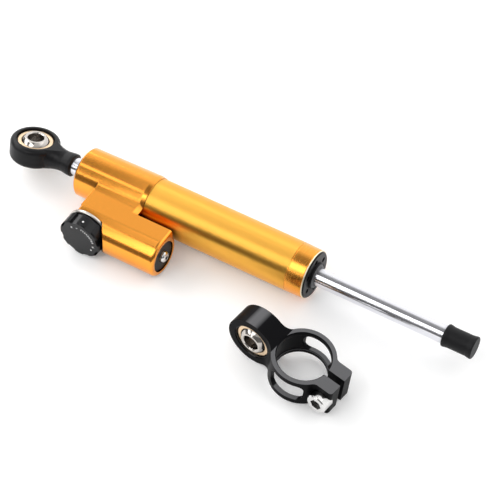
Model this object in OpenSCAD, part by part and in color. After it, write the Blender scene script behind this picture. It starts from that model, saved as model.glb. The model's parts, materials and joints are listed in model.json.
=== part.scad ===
// Motorcycle steering damper: a rod that runs right through an oil-filled tube, a head block with
// a side reservoir and an adjuster knob, a spherical rod end, and a loose split clamp for the tube.
// X runs along the rod from the centre of the rod end's eye, Z is up, and the reservoir is on -Y.

/* [Rod] */
// Diameter of the piston rod
rod_d = 9; // [8:0.5:10]
// Bare rod between the rod end and the head
rod_gap = 6.8; // [6:0.2:14]
// Bare rod between the end gland and the rod cap
stroke_gap = 68.8; // [50:0.2:76]
// Length of the rubber rod cap
cap_len = 15; // [12:0.5:20]
// Wall of the rod cap at its two ends
cap_wall = 0.95; // [0.8:0.05:1.5]
// Length of the piston
piston_len = 12; // [10:0.5:14]

/* [Rod end] */
// Eye centre to the end of the shank
rod_end_len = 24; // [23:0.5:32]
// Outside diameter of the eye ring
eye_d = 24.8; // [24:0.2:27]
// Width of the eye ring
eye_w = 10.8; // [10.6:0.2:12]
// Diameter of the shank's free end
shank_d = 11.6; // [10.6:0.2:13]
// Diameter of the shank's neck
neck_d = 10.6; // [9.4:0.2:10.6]
// Turn of the rod end about the rod, as it lies
rod_end_roll = -16; // [-30:1:30]

/* [Spherical bearings] */
// Bore of both balls, for a bolt of this size
ball_bore = 8; // [6:0.5:8.5]
// Diameter of both balls
ball_d = 16.4; // [16:0.1:16.8]
// Width of both balls
ball_w = 12.5; // [11.5:0.5:13]
// Outside diameter of both races
race_d = 18.8; // [18.4:0.1:19.2]
// Width of both races
race_w = 8.8; // [8:0.2:9]

/* [Head block] */
// Diameter of the head round the rod, at its shoulder
head_d = 26.2; // [25.8:0.2:26.8]
// Diameter of the head at its left end
head_tip_d = 25; // [24:0.2:26.8]
// Length of the head
head_len = 40; // [38:0.5:44]
// Head's left face to the left face of the block beside it
block_inset = 14; // [12:0.5:15]
// Diameter of the reservoir lobe
lobe_d = 21; // [20:0.5:22]
// Length of the reservoir lobe
lobe_len = 46.2; // [45:0.2:52]
// Distance from the rod's axis to the reservoir's axis, sideways
lobe_side = 24.5; // [24.2:0.1:27]
// Ledge that carries the flat top past the lobe's crown, towards the tube
ledge_w = 8.1; // [6:0.1:9]
// Fillet between the head and the flat top
web_fillet = 8; // [5:0.5:10]
// Height of the rod's axis above the floor, as the damper lies
axis_height = 13.5; // [13.4:0.1:14.4]
// Rounding of the lobe's open end
lobe_round = 1.6; // [0.8:0.1:2]
// Length of the sloping shoulder between the head and the tube
shoulder_len = 2.2; // [1:0.1:4]
// Chamfer on the turned ends
edge_chamfer = 0.9; // [0.4:0.1:1.2]

/* [Tube] */
// Outside diameter of the tube
tube_d = 24.6; // [24:0.1:25]
// Wall of the tube
tube_wall = 1.5; // [1.3:0.1:1.6]
// Tube between the head and the end collar
tube_len = 78.2; // [70:0.2:100]
// Length of the end collar
collar_len = 9; // [8:0.2:16]
// Diameter that the end collar tapers to at the gland
collar_tip_d = 24.2; // [23.2:0.1:24.6]
// Bore of the inner cylinder
cylinder_bore = 16; // [15.6:0.1:16.4]
// Wall of the inner cylinder
cylinder_wall = 1; // [0.8:0.1:1.2]

/* [Reservoir] */
// Bore of the reservoir and diameter of its plug
reservoir_d = 16; // [15:0.5:17]
// Wall between the reservoir bore and the knob's pocket
reservoir_wall = 1.6; // [1.2:0.1:2.2]
// Thickness of the reservoir plug
plug_t = 5.5; // [5:0.5:7]
// Length of the floating piston
float_len = 6; // [5:0.5:7]
// Length of the floating piston's spring as fitted
float_spring_len = 9.5; // [8:0.5:11]

/* [Adjuster] */
// Diameter of the knob
knob_d = 22.4; // [20:0.2:22.6]
// Thickness of the knob
knob_t = 7; // [5:0.2:7.4]
// Notches round the knob's rim
knob_notches = 8; // [6:1:12]
// Width of a notch
notch_w = 4; // [3:0.2:5]
// Depth of a notch
notch_depth = 1.3; // [0.6:0.1:1.6]
// Block's left face to the knob's axis
knob_inset = 6.4; // [5:0.2:8]
// Rise of the knob's axis above the reservoir's
knob_rise = 0.8; // [0.8:0.1:2]
// Depth of the knob's pocket, from the side of the lobe
pocket_depth = 6.9; // [5.5:0.1:7.5]
// Thickness of the adjuster gland's flange
flange_t = 1.2; // [1:0.1:2]
// Diameter of the valve spindle
spindle_d = 6; // [5:0.5:6.5]
// Clicks of the adjuster over its half turn
knob_clicks = 18; // [9:1:18]

/* [Clamp] */
// Height of the clamp ring along its bore
clamp_h = 16; // [15:0.5:20]
// Wall of the clamp ring
clamp_wall = 2.5; // [2.2:0.1:3]
// Bore of the open clamp over the tube's diameter
clamp_open = 0.3; // [0.3:0.1:1]
// Bore centre to the eye centre
clamp_reach = 25; // [24.5:0.5:28]
// Bore centre to the end of the ears
ear_reach = 21.6; // [21.4:0.1:26]
// Width across both ears
ear_span = 16.4; // [16:0.2:18]
// Slit between the ears
slit_w = 3.2; // [2:0.2:4]
// Diameter of the eye's boss
lug_d = 26; // [25:0.2:28]
// Thickness of the eye's boss
lug_t = 11; // [11:0.5:12]
// Height of the two windows
window_h = 10.6; // [8:0.2:11]
// Where the clamp lies, along the rod
clamp_x = 178.7; // [170:0.2:200]
// Where the clamp lies, sideways
clamp_y = -46.4; // [-70:0.2:-46]
// Turn of the clamp on the floor
clamp_yaw = -7.8; // [-20:0.2:20]

/* [Fits] */
// Radial clearance of pieces that run on each other
run = 0.03; // [0.02:0.01:0.06]
// Radial clearance of pressed and screwed pieces
snug = 0.02; // [0.01:0.01:0.04]
// Clearance between faces that turn past each other
turn_gap = 0.3; // [0.2:0.05:0.5]
// Section of the large O-rings
oring_d = 1.5; // [1.3:0.1:1.6]

/* [Hidden] */
$fn = 64;
fine = 96;

gold = [0.93, 0.62, 0.16];
black = [0.14, 0.14, 0.15];
chrome = [0.86, 0.87, 0.89];
bronze = [0.76, 0.62, 0.45];
rubber = [0.10, 0.10, 0.11];
silver = [0.80, 0.80, 0.82];
cream = [0.90, 0.88, 0.80];
grey = [0.35, 0.35, 0.36];

rod_r = rod_d / 2;
head_r = head_d / 2;
head_tip_r = head_tip_d / 2;
tube_r = tube_d / 2;
tube_in_r = tube_r - tube_wall;
lobe_r = lobe_d / 2;
floor_z = -axis_height;

// Stations along the rod
x_head = rod_end_len + rod_gap;
x_step = x_head + head_len;
x_collar = x_step + tube_len;
x_end = x_collar + collar_len;
x_cap = x_end + stroke_gap;
x_tip = x_cap + cap_len;

// Thread that holds the rod end on the rod
stud_r = 3;
stud_len = 12;

// Seal stack in the head, from its left face
wiper_r = 7.8;
wiper_t = 3.2;
seal_r = 7.2;
seal_t = 4.8;
bush_r = rod_r + 1.5;
rod_clear = 0.5;

// Socket of the tube in the head
socket_depth = 14;
socket_r = tube_r - 0.4 * tube_wall;
x_socket = x_step - socket_depth;
oring_gap = 0.05;
x_tube = x_socket + oring_d + oring_gap;

// Inner cylinder between the head and the gland
cylinder_in_r = cylinder_bore / 2;
cylinder_r = cylinder_in_r + cylinder_wall;
cylinder_seat = 3;
x_cylinder = x_socket - cylinder_seat;
bush_web = 2.5;
bush_t = x_cylinder - bush_web - seal_t - wiper_t - x_head;

// End gland inside the collar
spigot_len = 6;
spigot_r = tube_in_r + tube_wall / 2;
gland_rim_t = 1;
gland_rim_r = collar_tip_d / 2 - 0.4;
gland_boss_len = 1.2;
gland_wiper_r = bush_r + 0.3;
gland_wiper_t = 2.8;
gland_seal_t = 3;
gland_bush_t = 4.5;
gland_web = 0.5;
gland_boss_r = gland_wiper_r + 0.4;
x_gland_face = x_end + gland_rim_t;
x_boss = x_gland_face + gland_boss_len;
x_gland = x_boss - gland_wiper_t - gland_seal_t - gland_web - gland_bush_t - cylinder_seat;
pin_hole_r = 1.3;
pin_hole_depth = 3;
pin_circle_r = (gland_boss_r + tube_in_r) / 2 - 0.4;
pin_count = 6;
pin_turn = -4;
gland_oring_x = x_gland + cylinder_seat + 1.2;

// Piston, at the gland end of its stroke
piston_end_gap = 1.5;
piston_r = cylinder_in_r - 0.25;
band_t = 1.2;
band_w = 4;
band_play = 0.1;
x_piston_end = x_gland - piston_end_gap;
x_piston = x_piston_end - piston_len;
circlip_t = 1;
circlip_groove = 0.5;

// Reservoir lobe
lobe_y = -lobe_side;
lobe_z = floor_z + lobe_r;
x_lobe = x_head + block_inset;
x_lobe_end = x_lobe + lobe_len;
deck_z = lobe_z + lobe_r;
reservoir_r = reservoir_d / 2;
plug_recess = 0.6;
x_plug_end = x_lobe_end - plug_recess;
x_plug = x_plug_end - plug_t;
x_float_end = x_plug - float_spring_len;
x_float = x_float_end - float_len;
spring_wire = 1;
float_spring_turns = 6;
float_spring_r = reservoir_r - spring_wire / 2 - 1.2;

// Bleed screw in the plug
bleed_r = 1.5;
bleed_head_r = 2.9;
bleed_head_t = 1.7;
bleed_washer_t = 0.5;
bleed_hex = 2;
bleed_len = 5;

// Adjuster, seen from -Y
knob_x = x_lobe + knob_inset;
knob_z = lobe_z + knob_rise;
knob_r = knob_d / 2;
pocket_floor_y = lobe_y - lobe_r + pocket_depth;
flange_r = knob_r + 0.1;
pocket_r = knob_r + 1;
x_reservoir = knob_x + pocket_r + reservoir_wall;
flange_y = pocket_floor_y - flange_t;
knob_back_y = flange_y - turn_gap;
knob_face_y = knob_back_y - knob_t;
adjuster_spigot_r = spindle_d / 2 + 3;
adjuster_spigot_len = 8;
spindle_r = spindle_d / 2;
spindle_end_y = -13;
spindle_hub = 3.6;
small_oring_d = 1.1;
oil_way_r = 1;
oil_way_y = -(cylinder_r + tube_in_r) / 2;
detent_r = 1;
detent_circle = 8;
detent_show = 0.2;
detent_hole_len = 6;
dimple_depth = 0.35;
grub_r = 1.5;
grub_len = 3.4;

// Clamp, in its own frame: Z along the bore, the eye towards -X, the ears towards +X
clamp_bore_r = (tube_d + clamp_open) / 2;
clamp_r = clamp_bore_r + clamp_wall;
lug_r = lug_d / 2;
neck_fillet = 6;
bolt_r = 3;
bolt_head_r = 5;
bolt_head_t = 6;
bolt_hex = 5;
bolt_x = clamp_bore_r + bolt_r + 1.5;
bolt_seat_y = -(slit_w / 2 + 4.6);
bolt_room = 0.25;
clip_t = 0.7;
clip_groove = 0.7;
clip_width = 1;
bore_chamfer = 0.5;
bore_relief = 0.4;
ear_round = 1.6;
ear_fillet = 3;
window_round = 3.2;
window_back = 7.6;
window_front = 9.4;
// The clamp rests on its ears and on the boss of its eye, so it leans a little
lean_reach = clamp_reach + ear_reach;
clamp_lean = asin(lug_r / norm([clamp_h / 2, lean_reach])) - atan2(clamp_h / 2, lean_reach);
clamp_z = floor_z + clamp_h / 2 * cos(clamp_lean) + ear_reach * sin(clamp_lean);

// Turned solid about X, from points of station and radius
module lathe_x(profile) {
    rotate([0, 90, 0])
        rotate_extrude($fn = fine)
            polygon([for (p = profile) [p[1], p[0]]]);
}

// Round bar along X between two stations
module bar_x(x0, x1, r) {
    translate([x0, 0, 0])
        rotate([0, 90, 0])
            cylinder(h = x1 - x0, r = r, $fn = fine);
}

// Plain ring along X between two stations
module ring_x(x0, x1, r_out, r_in) {
    lathe_x([[x0, r_in], [x1, r_in], [x1, r_out], [x0, r_out]]);
}

// O-ring about X: its station, the radius of its section's centre and its section
module o_ring_x(x, r, d) {
    translate([x, 0, 0])
        rotate([0, 90, 0])
            rotate_extrude($fn = fine)
                translate([r, 0])
                    circle(d = d, $fn = 24);
}

// Axis of the reservoir
module at_lobe() {
    translate([0, lobe_y, lobe_z])
        children();
}

// Axis of the adjuster: the drawing's Z points to -Y, out of the pocket, and its height is -y
module at_adjuster() {
    translate([knob_x, 0, knob_z])
        rotate([90, 0, 0])
            children();
}

// Frame of the rod end's eye: Z along the ball's bore
module at_eye() {
    rotate([rod_end_roll, 0, 0])
        children();
}

// Frame of the clamp as it lies
module at_clamp() {
    translate([clamp_x, clamp_y, clamp_z])
        rotate([0, 0, clamp_yaw])
            rotate([0, clamp_lean, 0])
                children();
}

// Frame of the clamp's eye: Z along the ball's bore, which points to -Y
module at_clamp_eye() {
    at_clamp()
        translate([-clamp_reach, 0, 0])
            rotate([90, 0, 0])
                children();
}

// Coil spring along Z from 0: one swept tube with its ends ground to the set length
module coil(len, r, wire, turns) {
    sides = 6;
    rings = turns * 12;
    rise = len - wire;
    points = [
        for (i = [0:rings], k = [0:sides - 1])
            let (turn = 360 * turns * i / rings, lift = wire / 2 + rise * i / rings, a = 360 * k / sides)
            let (out = r + wire / 2 * cos(a))
            [out * cos(turn), out * sin(turn), lift + wire / 2 * sin(a)]
    ];
    walls = [
        for (i = [0:rings - 1], k = [0:sides - 1])
            let (a = i * sides + k, b = i * sides + (k + 1) % sides)
            each [[a, b, b + sides], [a, b + sides, a + sides]]
    ];
    first = [for (k = [1:sides - 2]) [0, k + 1, k]];
    last_ring = rings * sides;
    last = [for (k = [1:sides - 2]) [last_ring, last_ring + k, last_ring + k + 1]];
    polyhedron(points = points, faces = concat(walls, first, last), convexity = 4);
}

// Web beside the head: a flat top that a fillet joins to the head, and a sloping right edge
module head_web() {
    drop = 1.6;
    x_slope = x_step - shoulder_len;
    base_r = head_tip_r + (head_r - head_tip_r) * block_inset / (head_len - shoulder_len);
    side = deck_z + web_fillet;
    reach = sqrt(pow(base_r + web_fillet, 2) - side * side);
    difference() {
        union() {
            translate([x_lobe, lobe_y, floor_z])
                cube([x_step - x_lobe, lobe_side, deck_z - floor_z]);
            translate([x_lobe, 0, 0])
                rotate([90, 0, 90])
                    linear_extrude(x_step - x_lobe)
                        polygon([[0, 0], [-reach, 0], [-reach, side]]);
        }
        translate([0, -reach, side])
            lathe_x([
                [x_lobe - 1, 0], [x_lobe - 1, web_fillet], [x_slope, web_fillet],
                [x_step + shoulder_len, web_fillet + 2 * drop], [x_step + shoulder_len, 0]
            ]);
        translate([0, -reach, deck_z])
            rotate([90, 0, 0])
                linear_extrude(lobe_side)
                    polygon([
                        [x_slope, 0], [x_step + shoulder_len, -2 * drop],
                        [x_step + shoulder_len, 1], [x_slope, 1]
                    ]);
    }
}

// Head, lobe, ledge and web, before anything is bored
module head_body() {
    lip = 0.3;
    open_end = [
        for (a = [0:15:90])
            [x_lobe_end - lobe_round * (1 - cos(a)), lobe_r - lobe_round * (1 - sin(a))]
    ];
    lathe_x([
        [x_head, 0], [x_step, 0], [x_step, tube_r + lip], [x_step - shoulder_len, head_r],
        [x_head + edge_chamfer, head_tip_r], [x_head, head_tip_r - edge_chamfer]
    ]);
    at_lobe()
        lathe_x(concat(
            [[x_lobe, 0], [x_lobe_end, 0]], open_end,
            [[x_lobe + edge_chamfer, lobe_r], [x_lobe, lobe_r - edge_chamfer]]
        ));
    translate([0, lobe_y + ledge_w, lobe_z])
        rotate([90, 0, 0])
            linear_extrude(ledge_w)
                polygon(concat([[x_lobe, 0], [x_lobe_end, 0]], open_end, [[x_lobe, lobe_r]]));
    head_web();
}

// Bores of the head, from its left face to the tube's socket
module head_bores() {
    seal_x = x_head + wiper_t;
    bush_x = seal_x + seal_t;
    lathe_x([
        [x_head - 1, 0], [x_head - 1, wiper_r], [seal_x, wiper_r], [seal_x, seal_r], [bush_x, seal_r],
        [bush_x, bush_r + snug], [bush_x + bush_t, bush_r + snug], [bush_x + bush_t, rod_r + rod_clear],
        [x_cylinder, rod_r + rod_clear], [x_cylinder, cylinder_r + snug], [x_socket, cylinder_r + snug],
        [x_socket, socket_r + snug], [x_step + 1, socket_r + snug], [x_step + 1, 0]
    ]);
}

// Pocket, thread bore, valve chamber, detent hole and oil ways of the adjuster
module adjuster_bores() {
    at_adjuster() {
        translate([0, 0, -pocket_floor_y])
            cylinder(h = pocket_depth + lobe_r, r = pocket_r);
        translate([0, 0, -pocket_floor_y - adjuster_spigot_len])
            cylinder(h = adjuster_spigot_len + 1, r = adjuster_spigot_r + snug);
        translate([0, 0, -spindle_end_y - 0.5])
            cylinder(h = -pocket_floor_y + spindle_end_y + 0.5, r = spindle_r + run);
        translate([0, 0, -oil_way_y - oil_way_r])
            cylinder(h = -spindle_end_y + oil_way_y + oil_way_r, r = spindle_r / 2);
        translate([detent_circle, 0, -flange_y - detent_hole_len])
            cylinder(h = detent_hole_len, r = detent_r + run);
    }
    translate([0, oil_way_y, knob_z])
        bar_x(knob_x, x_socket + 1, oil_way_r);
    translate([0, spindle_end_y - spindle_r, knob_z])
        bar_x(knob_x, x_reservoir + 1, oil_way_r);
}

module head_block() {
    color(gold)
        difference() {
            head_body();
            head_bores();
            at_lobe()
                bar_x(x_reservoir, x_lobe_end + 1, reservoir_r + snug);
            adjuster_bores();
        }
}

module body_tube() {
    color(gold)
        lathe_x([
            [x_tube, tube_in_r], [x_collar + spigot_len, tube_in_r], [x_collar + spigot_len, spigot_r],
            [x_collar, spigot_r], [x_collar, tube_r], [x_step, tube_r], [x_step, socket_r],
            [x_tube, socket_r]
        ]);
}

// Collar screwed on the tube, with a fine groove where they meet
module end_collar() {
    groove = 0.35;
    rim = edge_chamfer / 2;
    tip_r = collar_tip_d / 2;
    color(gold)
        lathe_x([
            [x_collar, spigot_r + snug], [x_collar + spigot_len, spigot_r + snug],
            [x_collar + spigot_len, tube_in_r + snug], [x_end, tube_in_r + snug], [x_end, tip_r - rim],
            [x_end - rim, tip_r], [x_collar + 2 * groove, tube_r], [x_collar + groove, tube_r - groove],
            [x_collar, tube_r - groove]
        ]);
}

// Inner cylinder with the ports of the bypass at its gland end
module inner_cylinder() {
    port_r = 1.5;
    port_x = x_gland - 2 * port_r;
    color(silver)
        difference() {
            ring_x(x_cylinder, x_gland + cylinder_seat, cylinder_r, cylinder_in_r);
            for (a = [45:90:315])
                translate([port_x, 0, 0])
                    rotate([a, 0, 0])
                        cylinder(h = tube_r, r = port_r);
        }
}

module tube_o_ring() {
    color(rubber)
        o_ring_x(x_socket + oring_d / 2, socket_r - oring_d / 2, oring_d);
}

module head_bush() {
    bush_x = x_head + wiper_t + seal_t;
    color(bronze)
        ring_x(bush_x, bush_x + bush_t, bush_r, rod_r + run);
}

module head_rod_seal() {
    seal_x = x_head + wiper_t;
    color(rubber)
        ring_x(seal_x, seal_x + seal_t, seal_r - snug, rod_r + run);
}

// Wiper with a lip that leans out along the rod
module head_wiper() {
    lip = 0.5;
    color(rubber)
        lathe_x([
            [x_head + wiper_t, rod_r + run], [x_head + wiper_t, wiper_r - snug],
            [x_head + lip, wiper_r - snug], [x_head + lip, rod_r + 3 * lip],
            [x_head, rod_r + 2 * lip], [x_head, rod_r + run]
        ]);
}

// Screwed gland with pin holes for a spanner and a raised boss round the rod
module end_gland() {
    bush_x = x_gland + cylinder_seat;
    web_x = bush_x + gland_bush_t;
    seal_x = web_x + gland_web;
    wiper_x = seal_x + gland_seal_t;
    groove_r = tube_in_r - oring_d - oring_gap;
    groove_w = oring_d * 1.2;
    rim = 0.5;
    color(black)
        difference() {
            lathe_x([
                [x_gland, cylinder_r + snug], [bush_x, cylinder_r + snug], [bush_x, bush_r + snug],
                [web_x, bush_r + snug], [web_x, rod_r + rod_clear], [seal_x, rod_r + rod_clear],
                [seal_x, bush_r], [wiper_x, bush_r], [wiper_x, gland_wiper_r], [x_boss, gland_wiper_r],
                [x_boss, gland_boss_r - rim / 2], [x_boss - rim, gland_boss_r], [x_gland_face, gland_boss_r],
                [x_gland_face, gland_rim_r - rim], [x_gland_face - rim, gland_rim_r], [x_end, gland_rim_r],
                [x_end, tube_in_r - snug],
                [gland_oring_x + groove_w, tube_in_r - snug], [gland_oring_x + groove_w, groove_r],
                [gland_oring_x, groove_r], [gland_oring_x, tube_in_r - snug], [x_gland, tube_in_r - snug]
            ]);
            for (k = [0:pin_count - 1])
                rotate([pin_turn + 360 * k / pin_count, 0, 0])
                    translate([0, 0, pin_circle_r])
                        bar_x(x_gland_face - pin_hole_depth, x_gland_face + 1, pin_hole_r);
        }
}

module gland_bush() {
    bush_x = x_gland + cylinder_seat;
    color(bronze)
        ring_x(bush_x, bush_x + gland_bush_t, bush_r, rod_r + run);
}

module gland_rod_seal() {
    seal_x = x_boss - gland_wiper_t - gland_seal_t;
    color(rubber)
        ring_x(seal_x, seal_x + gland_seal_t, bush_r - snug, rod_r + run);
}

// Wiper, standing a little proud of the boss
module gland_wiper() {
    lip = 0.4;
    wiper_x = x_boss - gland_wiper_t;
    color(grey)
        lathe_x([
            [wiper_x, rod_r + run], [x_boss + lip, rod_r + run], [x_boss + lip, rod_r + lip],
            [x_boss, gland_wiper_r - lip], [x_boss - lip, gland_wiper_r - snug],
            [wiper_x, gland_wiper_r - snug]
        ]);
}

module gland_o_ring() {
    color(rubber)
        o_ring_x(gland_oring_x + oring_d * 0.6, tube_in_r - snug - oring_d / 2, oring_d);
}

// Rod with its stud, the two circlip grooves of the piston and a tip inside the rubber cap
module piston_rod() {
    cap_floor = 2.5;
    rim = 0.5;
    groove_r = rod_r - circlip_groove;
    x_stud = rod_end_len - stud_len;
    x_rod_tip = x_tip - cap_floor;
    clip_a = x_piston - circlip_t;
    clip_b = x_piston_end;
    color(chrome)
        lathe_x([
            [x_stud, 0], [x_rod_tip, 0], [x_rod_tip, rod_r - rim], [x_rod_tip - rim, rod_r],
            [clip_b + circlip_t, rod_r], [clip_b + circlip_t, groove_r], [clip_b, groove_r], [clip_b, rod_r],
            [x_piston, rod_r], [x_piston, groove_r], [clip_a, groove_r], [clip_a, rod_r],
            [rod_end_len, rod_r], [rod_end_len, stud_r], [x_stud + rim, stud_r], [x_stud, stud_r - rim]
        ]);
}

module piston() {
    groove_r = piston_r - band_t;
    band_x = x_piston + (piston_len - band_w) / 2;
    rim = 0.4;
    color(silver)
        lathe_x([
            [x_piston, rod_r + snug], [x_piston_end, rod_r + snug], [x_piston_end, piston_r - rim],
            [x_piston_end - rim, piston_r], [band_x + band_w + band_play, piston_r],
            [band_x + band_w + band_play, groove_r], [band_x - band_play, groove_r],
            [band_x - band_play, piston_r], [x_piston + rim, piston_r], [x_piston, piston_r - rim]
        ]);
}

module piston_band() {
    band_x = x_piston + (piston_len - band_w) / 2;
    color(cream)
        ring_x(band_x, band_x + band_w, cylinder_in_r - run, piston_r - band_t + band_play);
}

module piston_circlips() {
    clip_r = rod_r + 1.4;
    color(black)
        for (x = [x_piston - circlip_t, x_piston_end])
            ring_x(x, x + circlip_t, clip_r, rod_r - circlip_groove + snug);
}

// Rubber cap: a blind sleeve, waisted between its two rims
module rod_cap() {
    cap_r = rod_r + cap_wall;
    waist = 0.35;
    rim = 1;
    cap_floor = 2.5;
    color(rubber)
        lathe_x([
            [x_cap, rod_r + snug], [x_tip - cap_floor, rod_r + snug], [x_tip - cap_floor, 0], [x_tip, 0],
            [x_tip, cap_r - 0.3], [x_tip - 0.3, cap_r], [x_tip - rim, cap_r],
            [x_tip - 3 * rim, cap_r - waist], [x_cap + 3 * rim, cap_r - waist],
            [x_cap + rim, cap_r], [x_cap + 0.3, cap_r], [x_cap, cap_r - 0.3]
        ]);
}

// Eye ring with rounded edges, about Z
module eye_ring() {
    round_r = 2.4;
    r = eye_d / 2;
    half = eye_w / 2;
    edge = [for (a = [0:15:90]) [r - round_r + round_r * sin(a), half - round_r + round_r * cos(a)]];
    lower = [for (i = [len(edge) - 1:-1:0]) [edge[i][0], -edge[i][1]]];
    rotate_extrude($fn = fine)
        polygon(concat([[0, half]], edge, lower, [[0, -half]]));
}

// Shank with a neck that flares into the ring, cut level with the ring's two faces
module eye_shank() {
    end_r = shank_d / 2;
    neck_r = neck_d / 2;
    rim = 0.5;
    flare_r = 18;
    flare_side = neck_r + flare_r;
    blend_r = eye_d / 2 - 0.8;
    flare_x = sqrt(pow(blend_r + flare_r, 2) - flare_side * flare_side);
    turn = atan2(flare_x, flare_side);
    steps = 6;
    flare = [
        for (k = [0:steps])
            [flare_x - flare_r * sin(turn * k / steps), flare_side - flare_r * cos(turn * k / steps)]
    ];
    intersection() {
        lathe_x(concat(
            [[0, 0], [rod_end_len, 0], [rod_end_len, end_r - rim], [rod_end_len - rim, end_r],
             [rod_end_len - 4 * rim, end_r]],
            flare, [[0, flare[steps][1]]]
        ));
        rotate([90, 0, 0])
            linear_extrude(2 * eye_d, center = true)
                polygon([
                    [0, eye_w / 2], [flare_x, eye_w / 2], [flare_x, eye_d], [rod_end_len + 1, eye_d],
                    [rod_end_len + 1, -eye_d], [flare_x, -eye_d], [flare_x, -eye_w / 2], [0, -eye_w / 2]
                ]);
    }
}

module rod_end_housing() {
    color(black)
        at_eye()
            difference() {
                union() {
                    eye_ring();
                    eye_shank();
                }
                cylinder(h = 2 * eye_w, r = race_d / 2 + snug, center = true, $fn = fine);
                bar_x(rod_end_len - stud_len - 1, rod_end_len + 1, stud_r + snug);
            }
}

// Race with a spherical seat and rounded faces, about Z
module race() {
    r = race_d / 2;
    half = race_w / 2;
    lip = 0.8;
    difference() {
        rotate_extrude($fn = fine)
            polygon([
                [0, -half], [r - lip, -half], [r, -half + lip], [r, half - lip], [r - lip, half], [0, half]
            ]);
        sphere(r = ball_d / 2 + run, $fn = fine);
    }
}

// Ball with flat faces and a bored, chamfered hole, about Z
module ball() {
    bore_r = ball_bore / 2;
    half = ball_w / 2;
    rim = 0.4;
    difference() {
        intersection() {
            sphere(r = ball_d / 2, $fn = fine);
            cube([2 * ball_d, 2 * ball_d, ball_w], center = true);
        }
        cylinder(h = 2 * ball_w, r = bore_r, center = true, $fn = fine);
        for (side = [0, 180])
            rotate([side, 0, 0])
                translate([0, 0, half - rim])
                    cylinder(h = 2 * rim, r1 = bore_r, r2 = bore_r + 2 * rim, $fn = fine);
    }
}

module rod_end_race() {
    color(bronze)
        at_eye()
            race();
}

module rod_end_ball() {
    color(chrome)
        at_eye()
            ball();
}

// Plug screwed in the reservoir's mouth, drilled for the bleed screw
module reservoir_plug() {
    groove_r = reservoir_r - oring_d - oring_gap;
    groove_x = x_plug + 1;
    groove_w = oring_d * 1.2;
    rim = 0.5;
    color(black)
        at_lobe()
            lathe_x([
                [x_plug, bleed_r + snug], [x_plug_end, bleed_r + snug], [x_plug_end, reservoir_r - rim],
                [x_plug_end - rim, reservoir_r], [groove_x + groove_w, reservoir_r],
                [groove_x + groove_w, groove_r], [groove_x, groove_r], [groove_x, reservoir_r],
                [x_plug, reservoir_r]
            ]);
}

module plug_o_ring() {
    color(rubber)
        at_lobe()
            o_ring_x(x_plug + 1 + oring_d * 0.6, reservoir_r - oring_d / 2, oring_d);
}

// Button-head screw with a hexagon socket
module bleed_screw() {
    x_head_seat = x_plug_end + bleed_washer_t;
    x_point = x_head_seat - bleed_len;
    x_top = x_head_seat + bleed_head_t;
    dome = [for (a = [0:15:75]) [x_head_seat + bleed_head_t * sin(a), bleed_head_r * cos(a * 0.8)]];
    color(silver)
        at_lobe()
            difference() {
                lathe_x(concat(
                    [[x_point, 0], [x_point, bleed_r], [x_head_seat, bleed_r]],
                    dome, [[x_top, bleed_head_r * cos(60)], [x_top, 0]]
                ));
                translate([x_top - 0.7 * bleed_head_t, 0, 0])
                    rotate([0, 90, 0])
                        cylinder(h = bleed_head_t, d = bleed_hex / cos(30), $fn = 6);
            }
}

module bleed_washer() {
    color(bronze)
        at_lobe()
            ring_x(x_plug_end, x_plug_end + bleed_washer_t, bleed_head_r - 0.1, bleed_r + snug);
}

// Floating piston that takes up the oil's expansion
module floating_piston() {
    groove_r = reservoir_r - oring_d - oring_gap;
    groove_w = oring_d * 1.2;
    groove_x = x_float + (float_len - groove_w) / 2;
    r = reservoir_r - run;
    hollow_r = 2.5;
    color(silver)
        at_lobe()
            lathe_x([
                [x_float, 0], [x_float_end - float_len / 3, 0], [x_float_end - float_len / 3, hollow_r],
                [x_float_end, hollow_r], [x_float_end, r], [groove_x + groove_w, r],
                [groove_x + groove_w, groove_r], [groove_x, groove_r], [groove_x, r], [x_float, r]
            ]);
}

module floating_piston_o_ring() {
    color(rubber)
        at_lobe()
            o_ring_x(x_float + float_len / 2, reservoir_r - run - oring_d / 2, oring_d);
}

module floating_piston_spring() {
    color(silver)
        at_lobe()
            translate([x_float_end, 0, 0])
                rotate([0, 90, 0])
                    coil(float_spring_len, float_spring_r, spring_wire, float_spring_turns);
}

// Flanged gland of the adjuster, screwed into the pocket's floor
module adjuster_gland() {
    tip = -pocket_floor_y - adjuster_spigot_len;
    groove_w = small_oring_d * 1.2;
    groove_z = -pocket_floor_y - 2 - groove_w;
    groove_r = spindle_r + small_oring_d + oring_gap;
    color(silver)
        at_adjuster()
            difference() {
                rotate_extrude($fn = fine)
                    polygon([
                        [spindle_r + run, tip], [adjuster_spigot_r, tip],
                        [adjuster_spigot_r, -pocket_floor_y], [flange_r, -pocket_floor_y],
                        [flange_r, -flange_y - 0.4], [flange_r - 0.4, -flange_y],
                        [spindle_r + run, -flange_y], [spindle_r + run, groove_z + groove_w],
                        [groove_r, groove_z + groove_w], [groove_r, groove_z], [spindle_r + run, groove_z]
                    ]);
                translate([detent_circle, 0, 0])
                    cylinder(h = 2 * lobe_side, r = detent_r + run);
                translate([0, 0, tip])
                    rotate_extrude($fn = fine)
                        translate([adjuster_spigot_r - small_oring_d - oring_gap, 1])
                            square([small_oring_d + 1, groove_w]);
            }
}

module adjuster_gland_o_ring() {
    tip = -pocket_floor_y - adjuster_spigot_len;
    color(rubber)
        at_adjuster()
            translate([0, 0, tip + 1 + small_oring_d * 0.6])
                rotate_extrude($fn = fine)
                    translate([adjuster_spigot_r - small_oring_d / 2, 0])
                        circle(d = small_oring_d, $fn = 24);
}

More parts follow.
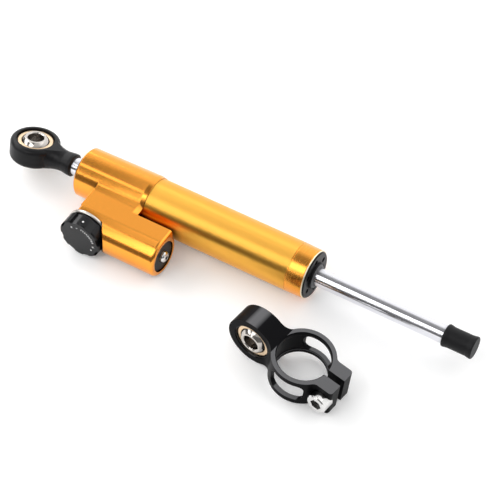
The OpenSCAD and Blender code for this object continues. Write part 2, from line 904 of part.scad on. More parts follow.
// Rotary valve: a spindle with a metering slot across its inner end and a flat for the grub screw
module valve_spindle() {
    top = -knob_back_y + spindle_hub;
    slot_w = 1.2;
    slot_len = 4;
    flat = 0.5;
    color(silver)
        at_adjuster()
            difference() {
                translate([0, 0, -spindle_end_y])
                    cylinder(h = top + spindle_end_y, r = spindle_r, $fn = fine);
                translate([-slot_w / 2, -spindle_r - 1, -spindle_end_y - 1])
                    cube([slot_w, 2 * spindle_r + 2, slot_len + 1]);
                translate([-spindle_r, -spindle_r - 1, -knob_back_y])
                    cube([2 * spindle_r, 1 + flat, spindle_hub + 1]);
            }
}

module spindle_o_ring() {
    groove_w = small_oring_d * 1.2;
    color(rubber)
        at_adjuster()
            translate([0, 0, -pocket_floor_y - 2 - groove_w / 2])
                rotate_extrude($fn = fine)
                    translate([spindle_r + run + small_oring_d / 2, 0])
                        circle(d = small_oring_d, $fn = 24);
}

// Knob: notched rim, chamfered face, blind hub for the spindle and a ring of click dimples behind
module adjuster_knob() {
    rim = 0.6;
    first_notch = 60;
    back = -knob_back_y;
    face = -knob_face_y;
    color(black)
        at_adjuster()
            difference() {
                rotate_extrude($fn = fine)
                    polygon([[0, back], [knob_r - rim, back], [knob_r, back + rim], [knob_r, face - rim],
                             [knob_r - rim, face], [0, face]]);
                for (k = [0:knob_notches - 1])
                    rotate([0, 0, first_notch + 360 * k / knob_notches])
                        translate([knob_r - notch_depth, -notch_w / 2, back - 1])
                            cube([2 * notch_depth, notch_w, knob_t + 2]);
                translate([0, 0, back - 1])
                    cylinder(h = spindle_hub + 1, r = spindle_r + snug, $fn = fine);
                translate([0, 0, back + knob_t / 2])
                    rotate([90, 0, 0])
                        cylinder(h = knob_r + 1, r = grub_r + snug);
                for (k = [0:knob_clicks])
                    rotate([0, 0, 180 * k / knob_clicks - 90])
                        translate([detent_circle, 0, back - detent_r + dimple_depth])
                            sphere(r = detent_r, $fn = 24);
            }
}

module knob_grub_screw() {
    seat = spindle_r - 0.5;
    hex = 1.5;
    color(silver)
        at_adjuster()
            translate([0, 0, -knob_back_y + knob_t / 2])
                rotate([90, 0, 0])
                    translate([0, 0, seat])
                        difference() {
                            cylinder(h = grub_len, r = grub_r);
                            translate([0, 0, grub_len / 2])
                                cylinder(h = grub_len, d = hex / cos(30), $fn = 6);
                        }
}

module detent_ball() {
    color(chrome)
        at_adjuster()
            translate([detent_circle, 0, -flange_y + detent_show - detent_r])
                sphere(r = detent_r, $fn = 32);
}

module detent_spring() {
    wire = 0.3;
    spring_len = detent_hole_len + detent_show - 2 * detent_r;
    color(silver)
        at_adjuster()
            translate([detent_circle, 0, -flange_y - detent_hole_len])
                coil(spring_len, detent_r - wire / 2 - 0.1, wire, 7);
}

// Concave fillets in plan, from the ring to a pair of flanks on its +X side
module plan_fillets(flank, r, h) {
    side = flank + r;
    reach = sqrt(pow(clamp_r + r, 2) - side * side);
    for (m = [0, 1])
        mirror([0, m, 0])
            difference() {
                translate([0, 0, -h / 2])
                    linear_extrude(h)
                        polygon([[reach, 0], [0, 0], [reach, side]]);
                translate([reach, side, 0])
                    cylinder(h = h + 2, r = r, center = true);
            }
}

// Plan of the neck between the ring and the eye: straight flanks with a fillet to the ring
module clamp_neck_plan() {
    translate([-clamp_reach - lug_r, -lug_t / 2, -lug_r])
        cube([clamp_reach + lug_r, lug_t, lug_d]);
    mirror([1, 0, 0])
        plan_fillets(lug_t / 2, neck_fillet, lug_d);
}

// Side view of the neck: the round boss of the eye, and flanks that fall in a straight line to the ring
module clamp_neck_side() {
    root_x = -clamp_bore_r;
    root_z = clamp_h / 2;
    reach = clamp_reach + root_x;
    touch = atan2(root_z, reach) + acos(lug_r / norm([reach, root_z]));
    top = [-clamp_reach + lug_r * cos(touch), lug_r * sin(touch)];
    rotate([90, 0, 0]) {
        translate([-clamp_reach, 0, 0])
            cylinder(h = 4 * lug_t, r = lug_r, center = true, $fn = fine);
        translate([0, 0, -2 * lug_t])
            linear_extrude(4 * lug_t)
                polygon([
                    [-clamp_reach, 0], top, [root_x, root_z], [0, root_z],
                    [0, -root_z], [root_x, -root_z], [top[0], -top[1]]
                ]);
    }
}

// Ears with round corners and fillets in plan
module clamp_ears() {
    corner_x = ear_reach - ear_round;
    corner_y = ear_span / 2 - ear_round;
    plan_fillets(ear_span / 2, ear_fillet, clamp_h);
    translate([0, -ear_span / 2, -clamp_h / 2])
        cube([corner_x, ear_span, clamp_h]);
    translate([corner_x - 1, -corner_y, -clamp_h / 2])
        cube([ear_round + 1, 2 * corner_y, clamp_h]);
    for (side = [-1, 1])
        translate([corner_x, side * corner_y, -clamp_h / 2])
            cylinder(h = clamp_h, r = ear_round, $fn = 32);
}

// Window through both flanks of the ring, with round corners
module clamp_windows() {
    depth = 4 * clamp_r;
    side_z = window_h / 2 - window_round;
    end_x = [-window_back + window_round, window_front - window_round];
    rotate([90, 0, 0]) {
        translate([-window_back, -side_z, -depth / 2])
            cube([window_back + window_front, 2 * side_z, depth]);
        translate([end_x[0], -window_h / 2, -depth / 2])
            cube([end_x[1] - end_x[0], window_h, depth]);
        for (x = end_x, z = [-side_z, side_z])
            translate([x, z, 0])
                cylinder(h = depth, r = window_round, center = true, $fn = 32);
    }
}

// Bore of the clamp: two gripping lands with a relief between them, and both edges chamfered
module clamp_bore() {
    cylinder(h = 2 * clamp_h, r = clamp_bore_r, center = true, $fn = fine);
    cylinder(h = window_h + 2 * bore_relief, r = clamp_bore_r + bore_relief, center = true, $fn = fine);
    flare = 2 * bore_chamfer;
    for (side = [0, 180])
        rotate([side, 0, 0])
            translate([0, 0, clamp_h / 2 - bore_chamfer])
                cylinder(h = flare, r1 = clamp_bore_r, r2 = clamp_bore_r + flare, $fn = fine);
}

module clamp_ring() {
    color(black)
        at_clamp()
            difference() {
                union() {
                    cylinder(h = clamp_h, r = clamp_r, center = true, $fn = fine);
                    clamp_ears();
                    intersection() {
                        clamp_neck_plan();
                        clamp_neck_side();
                    }
                }
                clamp_bore();
                clamp_windows();
                translate([0, -slit_w / 2, -clamp_h])
                    cube([2 * ear_reach, slit_w, 2 * clamp_h]);
                translate([bolt_x, 0, 0])
                    rotate([90, 0, 0]) {
                        cylinder(h = 2 * ear_span, r = bolt_r + snug, center = true);
                        translate([0, 0, -bolt_seat_y])
                            cylinder(h = ear_span, r = bolt_head_r + bolt_room);
                    }
                translate([-clamp_reach, 0, 0])
                    rotate([90, 0, 0]) {
                        cylinder(h = 2 * lug_d, r = race_d / 2 + snug, center = true, $fn = fine);
                        for (z = [-race_w / 2 - clip_t, race_w / 2])
                            translate([0, 0, z])
                                cylinder(h = clip_t, r = race_d / 2 + clip_groove, $fn = fine);
                    }
            }
}

module clamp_race() {
    color(bronze)
        at_clamp_eye()
            race();
}

module clamp_ball() {
    color(chrome)
        at_clamp_eye()
            ball();
}

// Two snap rings that hold the race, open at the ears' side
module clamp_circlips() {
    r = race_d / 2;
    gap = 4;
    color(black)
        at_clamp_eye()
            for (side = [0, 180])
                rotate([side, 0, 0])
                    translate([0, 0, race_w / 2])
                        difference() {
                            cylinder(h = clip_t, r = r + clip_groove - snug, $fn = fine);
                            translate([0, 0, -1])
                                cylinder(h = clip_t + 2, r = r - clip_width + clip_groove, $fn = fine);
                            translate([0, -gap / 2, -1])
                                cube([2 * r, gap, clip_t + 2]);
                        }
}

// Socket-head bolt that draws the ears together
module clamp_bolt() {
    bolt_len = ear_span / 2 - bolt_seat_y;
    head_top = -bolt_seat_y + bolt_head_t;
    rim = 0.5;
    color(silver)
        at_clamp()
            translate([bolt_x, 0, 0])
                rotate([90, 0, 0])
                    difference() {
                        rotate_extrude()
                            polygon([
                                [0, -bolt_seat_y - bolt_len], [bolt_r, -bolt_seat_y - bolt_len],
                                [bolt_r, -bolt_seat_y], [bolt_head_r, -bolt_seat_y],
                                [bolt_head_r, head_top - rim], [bolt_head_r - rim, head_top], [0, head_top]
                            ]);
                        translate([0, 0, -bolt_seat_y + bolt_head_t / 2])
                            cylinder(h = bolt_head_t, d = bolt_hex / cos(30), $fn = 6);
                    }
}

head_block();
body_tube();
end_collar();
inner_cylinder();
tube_o_ring();
head_bush();
head_rod_seal();
head_wiper();
end_gland();
gland_bush();
gland_rod_seal();
gland_wiper();
gland_o_ring();
piston_rod();
piston();
piston_band();
piston_circlips();
rod_cap();
rod_end_housing();
rod_end_race();
rod_end_ball();
reservoir_plug();
plug_o_ring();
bleed_screw();
bleed_washer();
floating_piston();
floating_piston_o_ring();
floating_piston_spring();
adjuster_gland();
adjuster_gland_o_ring();
valve_spindle();
spindle_o_ring();
adjuster_knob();
knob_grub_screw();
detent_ball();
detent_spring();
clamp_ring();
clamp_race();
clamp_ball();
clamp_circlips();
clamp_bolt();
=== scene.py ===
"""Looks of the steering damper and its loose clamp: materials, dial marks, light and camera."""

import json
import math

import bmesh
import bpy
from mathutils import Matrix, Vector


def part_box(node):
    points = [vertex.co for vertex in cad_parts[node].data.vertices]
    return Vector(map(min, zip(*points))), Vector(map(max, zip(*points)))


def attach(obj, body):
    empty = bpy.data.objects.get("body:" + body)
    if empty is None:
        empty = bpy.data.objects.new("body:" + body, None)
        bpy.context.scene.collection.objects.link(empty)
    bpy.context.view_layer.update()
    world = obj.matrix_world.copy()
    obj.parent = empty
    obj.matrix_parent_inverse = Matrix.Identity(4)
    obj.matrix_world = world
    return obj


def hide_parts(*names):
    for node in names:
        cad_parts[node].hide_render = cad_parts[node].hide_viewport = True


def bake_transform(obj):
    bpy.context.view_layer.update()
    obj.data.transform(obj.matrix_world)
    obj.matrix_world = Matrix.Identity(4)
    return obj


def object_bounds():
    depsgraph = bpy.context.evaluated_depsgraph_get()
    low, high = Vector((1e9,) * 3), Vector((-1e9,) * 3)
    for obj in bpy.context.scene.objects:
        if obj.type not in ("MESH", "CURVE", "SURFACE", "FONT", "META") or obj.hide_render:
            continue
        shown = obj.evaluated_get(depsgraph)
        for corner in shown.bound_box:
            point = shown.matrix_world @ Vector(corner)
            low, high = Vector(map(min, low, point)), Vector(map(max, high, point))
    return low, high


MM = 0.001

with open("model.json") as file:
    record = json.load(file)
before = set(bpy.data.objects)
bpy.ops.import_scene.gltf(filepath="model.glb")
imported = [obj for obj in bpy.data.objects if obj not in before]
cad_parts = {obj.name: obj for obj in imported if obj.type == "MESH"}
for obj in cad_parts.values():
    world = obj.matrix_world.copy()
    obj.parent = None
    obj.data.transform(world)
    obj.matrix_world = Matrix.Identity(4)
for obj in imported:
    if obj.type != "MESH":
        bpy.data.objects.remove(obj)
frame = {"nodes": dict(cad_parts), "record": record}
cad_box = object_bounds()
nodes = frame["nodes"]
scene = bpy.context.scene
scene.view_settings.view_transform = "Standard"


# Camera

CAMERA_PLACE = Vector((411.85, -481.52, 660.85)) * MM
CAMERA_AZIMUTH = math.radians(30.9)
CAMERA_ELEVATION = math.radians(49.8)
CAMERA_ANGLE = math.radians(15.48)
CAMERA_NEAR = 0.01
CAMERA_FAR = 50


def make_camera():
    """Camera with no roll, turned to look down along its azimuth and elevation."""
    data = bpy.data.cameras.new("camera")
    data.sensor_fit = "HORIZONTAL"
    data.angle = CAMERA_ANGLE
    data.clip_start = CAMERA_NEAR
    data.clip_end = CAMERA_FAR
    camera = bpy.data.objects.new("camera", data)
    scene.collection.objects.link(camera)
    level = math.cos(CAMERA_ELEVATION)
    back = Vector((
        math.sin(CAMERA_AZIMUTH) * level,
        -math.cos(CAMERA_AZIMUTH) * level,
        math.sin(CAMERA_ELEVATION),
    ))
    right = Vector((math.cos(CAMERA_AZIMUTH), math.sin(CAMERA_AZIMUTH), 0))
    up = back.cross(right)
    turn = Matrix((right, up, back)).transposed().to_4x4()
    camera.matrix_world = Matrix.Translation(CAMERA_PLACE) @ turn
    scene.camera = camera


# Materials, with lengths in millimetres

# Stretch of the grain along X, Y and Z: even, or drawn out into turning marks round the X axis
EVEN = (1, 1, 1)
TURNED = (12, 0.15, 0.15)

# The grain's noise: its detail, and the part of its range that most of it lies in
GRAIN_DETAIL = 3
GRAIN_LOW = 0.3
GRAIN_HIGH = 0.7

# Share by which the roughness goes up and down with the grain
METAL_WEAR = 0.15
PLAIN_WEAR = 0.1

# Samples of the rounded edges, and of the painted shade in holes
EDGE_SAMPLES = 6
SHADE_SAMPLES = 8

# Turn of the brushing, as a share of a whole turn, that lays it round the axis
BRUSHED_TURN = 0.25

# Upright part of the normal at which a face starts to take the painted sheen, and at which it is all
# painted sheen
SHEEN_FROM = 0.96
SHEEN_FULL = 0.995


def calculate(tree, operation, *values):
    """Result of a calculation with sockets or numbers."""
    node = tree.nodes.new("ShaderNodeMath")
    node.operation = operation
    for value, socket in zip(values, node.inputs):
        if isinstance(value, (int, float)):
            socket.default_value = value
        else:
            tree.links.new(value, socket)
    return node.outputs["Value"]


def ranged(tree, value, start, stop, low=0.0, high=1.0):
    """Map Range node that takes the value from start and stop to low and high."""
    node = tree.nodes.new("ShaderNodeMapRange")
    node.inputs["From Min"].default_value = start
    node.inputs["From Max"].default_value = stop
    node.inputs["To Min"].default_value = low
    node.inputs["To Max"].default_value = high
    tree.links.new(value, node.inputs["Value"])
    return node


def new_material(name):
    """Material with nothing but a Principled surface, its node tree, and the surface's node."""
    material = bpy.data.materials.new(name)
    material.use_nodes = True
    tree = material.node_tree
    tree.nodes.clear()
    output = tree.nodes.new("ShaderNodeOutputMaterial")
    surface = tree.nodes.new("ShaderNodeBsdfPrincipled")
    tree.links.new(surface.outputs["BSDF"], output.inputs["Surface"])
    return material, tree, surface


def grained(tree, stretch, scale):
    """Noise over the object's coordinates, stretched along each axis."""
    coordinates = tree.nodes.new("ShaderNodeTexCoord")
    mapping = tree.nodes.new("ShaderNodeMapping")
    mapping.inputs["Scale"].default_value = [s / MM for s in stretch]
    tree.links.new(coordinates.outputs["Object"], mapping.inputs["Vector"])
    texture = tree.nodes.new("ShaderNodeTexNoise")
    texture.inputs["Scale"].default_value = scale
    texture.inputs["Detail"].default_value = GRAIN_DETAIL
    tree.links.new(mapping.outputs["Vector"], texture.inputs["Vector"])
    return texture.outputs["Fac"]


def worn(tree, value, roughness, wear):
    """Roughness that varies by wear, a share of itself, with the value."""
    low = roughness * (1 - wear)
    high = roughness * (1 + wear)
    return ranged(tree, value, GRAIN_LOW, GRAIN_HIGH, low, high).outputs["Result"]


def tinted(tree, value, colour, depth):
    """Colour that varies by depth, a share of itself, with the value."""
    mix = tree.nodes.new("ShaderNodeMix")
    mix.data_type = "RGBA"
    mix.inputs["A"].default_value = [c * (1 - depth) for c in colour] + [1]
    mix.inputs["B"].default_value = [min(1, c * (1 + depth)) for c in colour] + [1]
    tree.links.new(value, mix.inputs["Factor"])
    return mix.outputs["Result"]


def with_painted_shade(tree, colour, shade_reach):
    """Painted shade: colour that goes dark, by ambient occlusion, in holes and corners narrower than the
    reach and near the floor and other parts.
    """
    shade = tree.nodes.new("ShaderNodeAmbientOcclusion")
    shade.samples = SHADE_SAMPLES
    shade.inputs["Distance"].default_value = shade_reach * MM
    tree.links.new(colour, shade.inputs["Color"])
    return shade.outputs["Color"]


def relief(tree, surface, value, height, edge):
    """Bumps of a height from the value, over edges rounded by a radius."""
    bevel = tree.nodes.new("ShaderNodeBevel")
    bevel.samples = EDGE_SAMPLES
    bevel.inputs["Radius"].default_value = edge * MM
    bump = tree.nodes.new("ShaderNodeBump")
    bump.inputs["Strength"].default_value = 1
    bump.inputs["Distance"].default_value = height * MM
    tree.links.new(bevel.outputs["Normal"], bump.inputs["Normal"])
    tree.links.new(value, bump.inputs["Height"])
    tree.links.new(bump.outputs["Normal"], surface.inputs["Normal"])


def metal(
    name, colour, roughness, stretch=EVEN,
    grain=4.0, height=0.002, edge=0.25, depth=0.04, shade_reach=0,
):
    """Metal with a fine grain, with painted shade that darkens it in small holes and near other surfaces
    where a reach is given.
    """
    material, tree, surface = new_material(name)
    value = grained(tree, stretch, grain)
    surface.inputs["Metallic"].default_value = 1
    base = tinted(tree, value, colour, depth)
    if shade_reach:
        base = with_painted_shade(tree, base, shade_reach)
    tree.links.new(base, surface.inputs["Base Color"])
    tree.links.new(worn(tree, value, roughness, METAL_WEAR), surface.inputs["Roughness"])
    relief(tree, surface, value, height, edge)
    return material


def plain(
    name, colour, roughness,
    grain=6.0, height=0.004, edge=0.3, depth=0.15, specular=0.5,
):
    """Painted, anodised, moulded or plastic surface with a fine tooth."""
    material, tree, surface = new_material(name)
    value = grained(tree, EVEN, grain)
    surface.inputs["Specular IOR Level"].default_value = specular
    tree.links.new(tinted(tree, value, colour, depth), surface.inputs["Base Color"])
    tree.links.new(worn(tree, value, roughness, PLAIN_WEAR), surface.inputs["Roughness"])
    relief(tree, surface, value, height, edge)
    return material


def brushed(name, colour, roughness, height):
    """Metal polished round the X axis, so that reflections run out along it, with painted shade in its
    hollows.
    """
    material = metal(name, colour, roughness, TURNED, grain=1.0, height=height, shade_reach=4)
    tree = material.node_tree
    surface = tree.nodes["Principled BSDF"]
    surface.inputs["Anisotropic"].default_value = 1
    surface.inputs["Anisotropic Rotation"].default_value = BRUSHED_TURN
    tangent = tree.nodes.new("ShaderNodeTangent")
    tangent.direction_type = "RADIAL"
    tangent.axis = "X"
    tree.links.new(tangent.outputs["Tangent"], surface.inputs["Tangent"])
    return material


def with_painted_sheen(name, colour, sheen_colour, roughness, specular):
    """Dark finish with a painted sheen: faces that point straight up or down are painted paler than the
    sides.
    """
    material = plain(name, colour, roughness, specular=specular)
    tree = material.node_tree
    surface = tree.nodes["Principled BSDF"]
    sides = surface.inputs["Base Color"].links[0].from_socket
    coordinates = tree.nodes.new("ShaderNodeTexCoord")
    split = tree.nodes.new("ShaderNodeSeparateXYZ")
    tree.links.new(coordinates.outputs["Normal"], split.inputs["Vector"])
    upright = calculate(tree, "ABSOLUTE", split.outputs["Z"])
    sheen_mask = ranged(tree, upright, SHEEN_FROM, SHEEN_FULL)
    mix = tree.nodes.new("ShaderNodeMix")
    mix.data_type = "RGBA"
    mix.inputs["B"].default_value = (*sheen_colour, 1)
    tree.links.new(sheen_mask.outputs["Result"], mix.inputs["Factor"])
    tree.links.new(sides, mix.inputs["A"])
    tree.links.new(mix.outputs["Result"], surface.inputs["Base Color"])
    return material


# Finishes of the record's material slots; the metals given a reach get painted shade in hollows and near
# other surfaces
MATERIALS = {
    "gold_anodised": metal(
        "gold_anodised", (0.95, 0.37, 0.055), 0.18, TURNED,
        grain=1.0, height=0.0003, edge=0.3, depth=0.06, shade_reach=4,
    ),
    "black_anodised": plain("black_anodised", (0.008, 0.008, 0.009), 0.35, specular=0.18),
    "chrome": metal(
        "chrome", (0.86, 0.86, 0.88), 0.07, TURNED,
        grain=1.0, height=0.0002, edge=0.2, depth=0.02, shade_reach=5,
    ),
    "bronze": metal("bronze", (0.84, 0.64, 0.43), 0.3, grain=5.0, edge=0.4),
    "rubber": plain("rubber", (0.007, 0.007, 0.008), 0.5, grain=5.0, height=0.008, specular=0.2),
    "grey_rubber": plain("grey_rubber", (0.10, 0.10, 0.105), 0.5, grain=5.0, height=0.006, edge=0.25),
    "pale_plastic": plain("pale_plastic", (0.70, 0.68, 0.64), 0.5, grain=4.0, edge=0.2, depth=0.05),
    "bare_aluminium": metal(
        "bare_aluminium", (0.62, 0.59, 0.55), 0.3, TURNED,
        grain=1.0, height=0.0006, edge=0.2,
    ),
    "steel": metal("steel", (0.78, 0.77, 0.76), 0.16, height=0.001, edge=0.2, shade_reach=4),
    "black_steel": metal("black_steel", (0.06, 0.06, 0.065), 0.4, edge=0.15),
}

# Steel of the balls, with painted shade in their bores and hollows
ball_steel = metal("ball_steel", (0.62, 0.58, 0.54), 0.12, height=0.0005, edge=0.2, shade_reach=8)

# Finishes of single nodes, where they differ from their slot's
FINISHES = {
    # The tube's gold is painted paler and yellower than the head's, standing in for the brighter light on
    # the tube
    "body_tube": brushed("gold_tube", (0.97, 0.50, 0.08), 0.4, height=0.0006),
    "end_collar": metal(
        "gold_collar", (0.95, 0.39, 0.06), 0.25, TURNED,
        grain=1.0, height=0.0002, edge=0.3,
    ),
    "adjuster_knob": plain("black_knob", (0.008, 0.008, 0.009), 0.25, height=0.002, specular=0.25),
    "piston_rod": brushed("ground_chrome", (0.80, 0.80, 0.84), 0.13, height=0.0001),
    "rod_end_ball": ball_steel,
    "clamp_ball": ball_steel,
    # Painted sheen on the clamp's flat upper and lower faces
    "clamp_ring": with_painted_sheen(
        "black_painted_sheen", (0.006, 0.006, 0.007), (0.13, 0.13, 0.135), 0.34, specular=0.03
    ),
}

dial_paint = plain(
    "dial_paint", (0.80, 0.80, 0.80), 0.5,
    grain=4.0, height=0.003, edge=0.05, depth=0.05,
)

edge_metal = metal("edge_metal", (0.95, 0.86, 0.66), 0.35, height=0.001, edge=0.1)


def dress(obj, material):
    """The object shows this one material."""
    obj.data.materials.clear()
    obj.data.materials.append(material)


def dress_nodes():
    """Every CAD node gets its own finish, or else the one of its slot in the record."""
    for part in frame["record"]["subparts"]:
        node = part["node"]
        dress(nodes[node], FINISHES.get(node, MATERIALS[part["material_slot"]]))


# Spring of the reservoir

def make_reservoir_spring():
    """Copy of the spring between the plug and the floating piston as an object of its own, with the CAD
    node hidden.
    """
    node = nodes["floating_piston_spring"]
    spring = bpy.data.objects.new("reservoir_spring", node.data.copy())
    scene.collection.objects.link(spring)
    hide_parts("floating_piston_spring")
    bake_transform(spring)


# Rings on the collar, with lengths in millimetres

RING_STEPS = 128
RING_CREASE = math.radians(30)
# The groove's width and depth, and how far its fill stays below the tube's surface
SEAM_GROOVE = 0.35
SEAM_DEPTH = 0.02
# The bead's distance from the axis, its own radius, and how far its middle is past the collar's end
BEAD_DISTANCE = 11.85
BEAD_RADIUS = 0.3
BEAD_OUT = 0.05
BEAD_SIDES = 12


def make_ring(name, profile, material):
    """Ring round the X axis, with a closed profile of places along it and radii."""
    build = bmesh.new()
    corners = [build.verts.new((x * MM, 0, r * MM)) for x, r in profile]
    sides = [build.edges.new(pair) for pair in zip(corners, corners[1:] + corners[:1])]
    bmesh.ops.spin(
        build, geom=corners + sides, cent=(0, 0, 0), axis=(1, 0, 0),
        angle=2 * math.pi, steps=RING_STEPS, use_merge=True,
    )
    bmesh.ops.recalc_face_normals(build, faces=build.faces)
    for face in build.faces:
        face.smooth = True
    mesh = bpy.data.meshes.new(name)
    build.to_mesh(mesh)
    build.free()
    mesh.set_sharp_from_angle(angle=RING_CREASE)
    ring = bpy.data.objects.new(name, mesh)
    scene.collection.objects.link(ring)
    dress(ring, material)
    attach(ring, "damper_body")


def make_collar_rings():
    """Fill of the groove where the collar meets the tube, and the bright bead round the collar's end."""
    low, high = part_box("end_collar")
    start = low.x / MM
    end = high.x / MM
    tube_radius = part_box("body_tube")[1].z / MM
    bottom = tube_radius - SEAM_GROOVE
    top = tube_radius - SEAM_DEPTH
    seam = [
        (start, bottom), (start + SEAM_GROOVE, bottom),
        (start + 2 * SEAM_GROOVE, top), (start, top),
    ]
    make_ring("collar_seam", seam, FINISHES["end_collar"])
    turns = [2 * math.pi * k / BEAD_SIDES for k in range(BEAD_SIDES)]
    bead = [
        (end + BEAD_OUT + BEAD_RADIUS * math.cos(turn), BEAD_DISTANCE + BEAD_RADIUS * math.sin(turn))
        for turn in turns
    ]
    make_ring("collar_edge", bead, edge_metal)


# Dial marks on the knob, in millimetres and degrees

DIAL_RADIUS = 7.6
DIAL_RISE = 0.03
DIAL_BOLD = 0.04
DIAL_NUMBERS = 9
DIAL_NUMBERS_FROM = 78
DIAL_NUMBERS_TO = 12
DIAL_NUMBER_HEIGHT = 1.6
DIAL_SIGNS = (("-", 97), ("+", -10))
DIAL_SIGN_HEIGHT = 2.6
DIAL_POINTER = 121
DIAL_POINTER_RADIUS = 0.7
DIAL_END = -33
DIAL_END_RADIUS = 0.45
INDEX_DOT = 82.5
INDEX_DOT_BACK = 2.4
INDEX_DOT_RADIUS = 0.5
DOT_SIDES = 24


def on_dial(angle):
    """Place of a mark from the centre of the knob's face, upright along the radius."""
    turn = math.radians(angle)
    spot = Matrix.Translation((DIAL_RADIUS * math.cos(turn), DIAL_RADIUS * math.sin(turn), 0))
    return spot @ Matrix.Rotation(turn - math.pi / 2, 4, "Z")


def add_text(body, height, spot):
    """Raised sign or number as a mesh."""
    curve = bpy.data.curves.new("dial_text", "FONT")
    curve.body = body
    curve.size = height
    curve.align_x = "CENTER"
    curve.align_y = "CENTER"
    curve.extrude = DIAL_RISE
    curve.offset = DIAL_BOLD
    text = bpy.data.objects.new("dial_text", curve)
    scene.collection.objects.link(text)
    bpy.context.view_layer.update()
    shaped = text.evaluated_get(bpy.context.evaluated_depsgraph_get())
    mesh = bpy.data.meshes.new_from_object(shaped)
    bpy.data.objects.remove(text)
    mesh.transform(spot)
    return mesh


def add_disc(sides, radius, spot):
    """Thin raised disc as a mesh, or a triangle where it has three sides."""
    build = bmesh.new()
    bmesh.ops.create_cone(
        build, cap_ends=True, segments=sides,
        radius1=radius, radius2=radius, depth=2 * DIAL_RISE, matrix=spot,
    )
    mesh = bpy.data.meshes.new("dial_disc")
    build.to_mesh(mesh)
    build.free()
    return mesh


def make_dial():
    """Pointer, signs, numbers and end dot on the knob's face, and an index dot on its rim, as one mesh."""
    low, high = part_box("adjuster_knob")
    knob_radius = (high.x - low.x) / 2 / MM
    pointer = on_dial(DIAL_POINTER) @ Matrix.Rotation(math.pi, 4, "Z")
    marks = [add_disc(3, DIAL_POINTER_RADIUS, pointer)]
    marks += [add_text(sign, DIAL_SIGN_HEIGHT, on_dial(angle)) for sign, angle in DIAL_SIGNS]
    step = (DIAL_NUMBERS_TO - DIAL_NUMBERS_FROM) / (DIAL_NUMBERS - 1)
    for k in range(DIAL_NUMBERS):
        marks.append(add_text(str(k + 1), DIAL_NUMBER_HEIGHT, on_dial(DIAL_NUMBERS_FROM + step * k)))
    marks.append(add_disc(DOT_SIDES, DIAL_END_RADIUS, on_dial(DIAL_END)))
    turn = Matrix.Rotation(math.radians(INDEX_DOT), 4, "Z")
    rim = Matrix.Translation((knob_radius, 0, -INDEX_DOT_BACK)) @ Matrix.Rotation(math.pi / 2, 4, "Y")
    marks.append(add_disc(DOT_SIDES, INDEX_DOT_RADIUS, turn @ rim))
    build = bmesh.new()
    for mark in marks:
        build.from_mesh(mark)
        bpy.data.meshes.remove(mark)
    face = Matrix.Translation(((low.x + high.x) / 2, low.y, (low.z + high.z) / 2))
    build.transform(face @ Matrix.Rotation(math.pi / 2, 4, "X") @ Matrix.Scale(MM, 4))
    mesh = bpy.data.meshes.new("dial_marks")
    build.to_mesh(mesh)
    build.free()
    dial = bpy.data.objects.new("dial_marks", mesh)
    scene.collection.objects.link(dial)
    dress(dial, dial_paint)
    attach(dial, "adjuster")


# Floor and light, in metres

FLOOR_SIZE = 6.0
FLOOR_COLOUR = (0.90, 0.90, 0.90, 1)

# White added where the floor is looked at, and the distances over which it goes over to pure white there
FLOOR_LIFT = 0.16
FLOOR_NEAR = 0.45
FLOOR_FAR = 1.2

# Levels of the studio by the y of a direction: dark in front, with a white wall behind
STUDIO_LEVELS = (
    (-1, 0.25), (-0.82, 0.22), (-0.6, 0.3), (0.2, 0.3), (0.4, 0.7), (0.6, 1.3), (0.8, 1.5),
)

# The wall comes round on the right: past this x, a share of what is left of x is added to y
WALL_TURN_FROM = 0.2
WALL_TURN = 0.6

# Lamps over the object: level, width, depth, place and turn in degrees
LAMP_HEIGHT = 0.7
LAMPS = {
    "front_box": (2.9, 0.42, 0.62, (-0.105, -0.586), -18.7),
    "far_box": (2.9, 0.27, 0.62, (-0.365, -1.18), 0),
    "head_strip": (1.8, 0.14, 0.15, (-0.315, -0.225), 0),
    "lobe_strip": (0.85, 0.12, 0.45, (-0.20, 0.08), 0),
    "right_box": (0.6, 0.82, 2.3, (0.54, 0.25), 0),
    "left_box": (3.3, 0.88, 2.4, (-1.06, 0), 0),
    "tube_strip": (3.3, 0.20, 0.65, (-0.52, 0.08), 0),
}


def seen_plainly(tree):
    """1 for camera, glossy and transmission rays, else 0."""
    path = tree.nodes.new("ShaderNodeLightPath")
    seen = calculate(tree, "MAXIMUM", path.outputs["Is Camera Ray"], path.outputs["Is Glossy Ray"])
    return calculate(tree, "MAXIMUM", seen, path.outputs["Is Transmission Ray"])


def floor_material():
    """Matt white that keeps the shadow, lifted where it is looked at, and pure white there far out."""
    material = bpy.data.materials.new("floor")
    material.use_nodes = True
    tree = material.node_tree
    tree.nodes.clear()
    output = tree.nodes.new("ShaderNodeOutputMaterial")
    matt = tree.nodes.new("ShaderNodeBsdfDiffuse")
    matt.inputs["Color"].default_value = FLOOR_COLOUR
    seen = seen_plainly(tree)
    glow = tree.nodes.new("ShaderNodeEmission")
    tree.links.new(calculate(tree, "MULTIPLY", seen, FLOOR_LIFT), glow.inputs["Strength"])
    lifted = tree.nodes.new("ShaderNodeAddShader")
    tree.links.new(matt.outputs["BSDF"], lifted.inputs[0])
    tree.links.new(glow.outputs["Emission"], lifted.inputs[1])
    coordinates = tree.nodes.new("ShaderNodeTexCoord")
    distance = tree.nodes.new("ShaderNodeVectorMath")
    distance.operation = "LENGTH"
    tree.links.new(coordinates.outputs["Object"], distance.inputs[0])
    far = ranged(tree, distance.outputs["Value"], FLOOR_NEAR, FLOOR_FAR)
    far.interpolation_type = "SMOOTHSTEP"
    white = tree.nodes.new("ShaderNodeEmission")
    blend = tree.nodes.new("ShaderNodeMixShader")
    tree.links.new(calculate(tree, "MULTIPLY", far.outputs["Result"], seen), blend.inputs["Fac"])
    tree.links.new(lifted.outputs["Shader"], blend.inputs[1])
    tree.links.new(white.outputs["Emission"], blend.inputs[2])
    tree.links.new(blend.outputs["Shader"], output.inputs["Surface"])
    return material


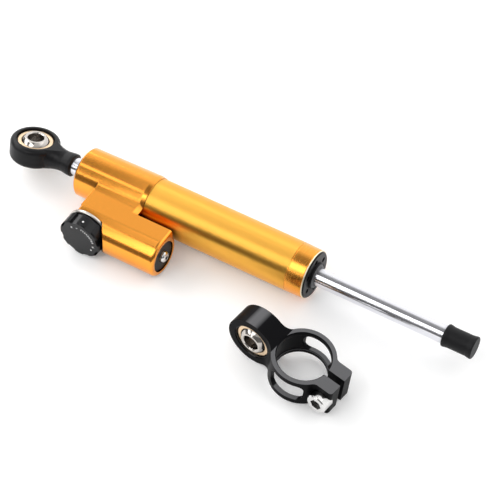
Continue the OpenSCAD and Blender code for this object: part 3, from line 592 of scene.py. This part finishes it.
def make_floor():
    """Floor under the head block, the lowest piece, with its middle under the whole part's."""
    half = FLOOR_SIZE / 2
    corners = [(-half, -half, 0), (half, -half, 0), (half, half, 0), (-half, half, 0)]
    mesh = bpy.data.meshes.new("floor")
    mesh.from_pydata(corners, [], [(0, 1, 2, 3)])
    mesh.materials.append(floor_material())
    floor = bpy.data.objects.new("floor", mesh)
    middle = (cad_box[0] + cad_box[1]) / 2
    floor.location = (middle.x, middle.y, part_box("head_block")[0].z)
    scene.collection.objects.link(floor)


def make_studio():
    """World lit by its levels, and white where the camera sees it directly."""
    world = bpy.data.worlds.new("studio")
    scene.world = world
    world.use_nodes = True
    tree = world.node_tree
    tree.nodes.clear()
    output = tree.nodes.new("ShaderNodeOutputWorld")
    coordinates = tree.nodes.new("ShaderNodeTexCoord")
    split = tree.nodes.new("ShaderNodeSeparateXYZ")
    tree.links.new(coordinates.outputs["Generated"], split.inputs["Vector"])
    right = calculate(tree, "SUBTRACT", split.outputs["X"], WALL_TURN_FROM)
    only_right = calculate(tree, "MAXIMUM", right, 0)
    side = calculate(tree, "MULTIPLY_ADD", only_right, WALL_TURN, split.outputs["Y"])
    levels = tree.nodes.new("ShaderNodeFloatCurve")
    levels.mapping.use_clip = False
    curve = levels.mapping.curves[0]
    for place, point in zip(STUDIO_LEVELS, curve.points):
        point.location = place
    for place in STUDIO_LEVELS[len(curve.points):]:
        curve.points.new(*place)
    levels.mapping.update()
    tree.links.new(side, levels.inputs["Value"])
    path = tree.nodes.new("ShaderNodeLightPath")
    choose = tree.nodes.new("ShaderNodeMix")
    tree.links.new(path.outputs["Is Camera Ray"], choose.inputs["Factor"])
    tree.links.new(levels.outputs["Value"], choose.inputs["A"])
    choose.inputs["B"].default_value = 1
    light = tree.nodes.new("ShaderNodeBackground")
    tree.links.new(choose.outputs["Result"], light.inputs["Strength"])
    tree.links.new(light.outputs["Background"], output.inputs["Surface"])


def make_lamp(name, level, width, depth, spot, turn):
    """Soft lamp that faces down, of a set level where it is mirrored."""
    data = bpy.data.lights.new(name, "AREA")
    data.shape = "RECTANGLE"
    data.size = width
    data.size_y = depth
    data.energy = level * math.pi * width * depth
    lamp = bpy.data.objects.new(name, data)
    lamp.location = (*spot, LAMP_HEIGHT)
    lamp.rotation_euler.z = math.radians(turn)
    lamp.visible_camera = False
    scene.collection.objects.link(lamp)


make_camera()
dress_nodes()
make_reservoir_spring()
make_collar_rings()
make_dial()
make_floor()
make_studio()
for lamp_name, lamp in LAMPS.items():
    make_lamp(lamp_name, *lamp)
